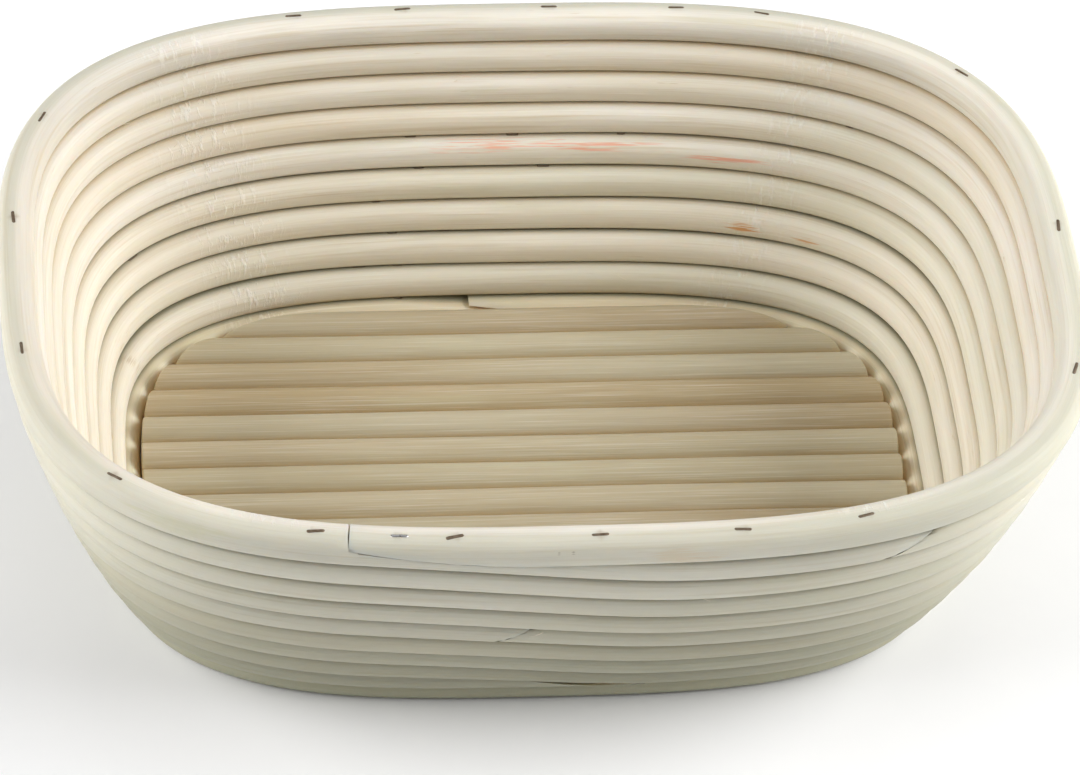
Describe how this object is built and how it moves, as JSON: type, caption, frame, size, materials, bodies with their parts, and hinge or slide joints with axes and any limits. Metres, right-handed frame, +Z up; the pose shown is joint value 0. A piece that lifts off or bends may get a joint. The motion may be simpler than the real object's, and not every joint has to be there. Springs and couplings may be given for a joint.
{
  "type": "banneton basket",
  "caption": "Oval coiled cane proofing basket with a slatted cane floor, for shaping and raising bread dough.",
  "frame": {"origin": "middle of the footprint, on the surface that the basket stands on", "axes": "+X along the length and the floor canes, +Y towards the back, +Z up towards the open rim"},
  "size_m": [0.285, 0.206, 0.0915],
  "materials": {
    "wall_cane": "peeled round cane, bare, satin fibres",
    "floor_cane": "peeled round cane, bare, warmer tone",
    "batten_wood": "planed bare wood",
    "wire": "dull brown steel wire"
  },
  "bodies": {
    "root": {"base_hoop": "wall_cane", "lower_cane": "wall_cane", "middle_cane": "wall_cane", "rim_cane": "wall_cane", "floor_slat_1": "floor_cane", "floor_slat_2": "floor_cane", "floor_slat_3": "floor_cane", "floor_slat_4": "floor_cane", "floor_slat_5": "floor_cane", "floor_slat_6": "floor_cane", "floor_slat_7": "floor_cane", "floor_slat_8": "floor_cane", "floor_slat_9": "floor_cane", "floor_slat_10": "floor_cane", "floor_slat_11": "floor_cane", "floor_slat_12": "floor_cane", "floor_slat_13": "floor_cane", "cross_batten_1": "batten_wood", "cross_batten_2": "batten_wood", "cross_batten_3": "batten_wood", "batten_pin_1": "wire", "batten_pin_2": "wire", "batten_pin_3": "wire", "batten_pin_4": "wire", "batten_pin_5": "wire", "batten_pin_6": "wire", "rim_staple_1": "wire", "rim_staple_2": "wire", "rim_staple_3": "wire", "rim_staple_4": "wire", "rim_staple_5": "wire", "rim_staple_6": "wire", "rim_staple_7": "wire", "rim_staple_8": "wire", "rim_staple_9": "wire", "rim_staple_10": "wire", "rim_staple_11": "wire", "rim_staple_12": "wire", "rim_staple_13": "wire", "rim_staple_14": "wire", "rim_staple_15": "wire", "rim_staple_16": "wire", "rim_staple_17": "wire", "rim_staple_18": "wire"}
  },
  "joints": []
}
